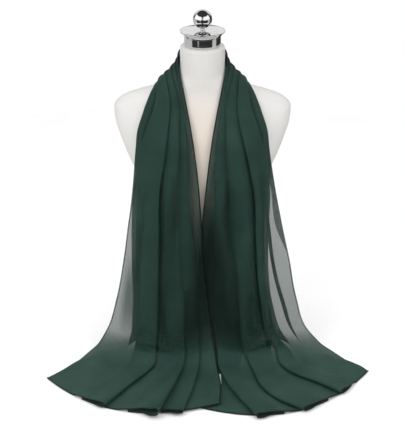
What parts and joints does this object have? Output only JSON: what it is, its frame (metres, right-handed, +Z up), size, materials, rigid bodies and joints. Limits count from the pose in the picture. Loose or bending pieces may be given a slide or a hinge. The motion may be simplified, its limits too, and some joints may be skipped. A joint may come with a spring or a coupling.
{
  "type": "hijab headscarf on a limbless dress form",
  "caption": "Long chiffon scarf looped behind the neck of a limbless dress form, both ends falling in pleats down the front and spreading on the table",
  "frame": {"origin": "centre of the neck's axis on the form's flat underside, where it stands on the table", "axes": "+Z up along the neck's axis, the form faces -Y, +X to the right as seen from the front"},
  "size_m": [0.673, 0.4623, 0.7308],
  "materials": {
    "chiffon": "sheer bottle-green crepe chiffon, dark where it lies in folds",
    "label_satin": "plain pale satin ribbon",
    "form_skin": "smooth ivory skin with a soft sheen",
    "chrome": "mirror chrome plate"
  },
  "bodies": {
    "root": {"scarf_neck": "chiffon", "scarf_left": "chiffon", "scarf_right": "chiffon", "label": "label_satin", "torso": "form_skin", "neck_cap": "chrome", "finial": "chrome"}
  },
  "joints": []
}
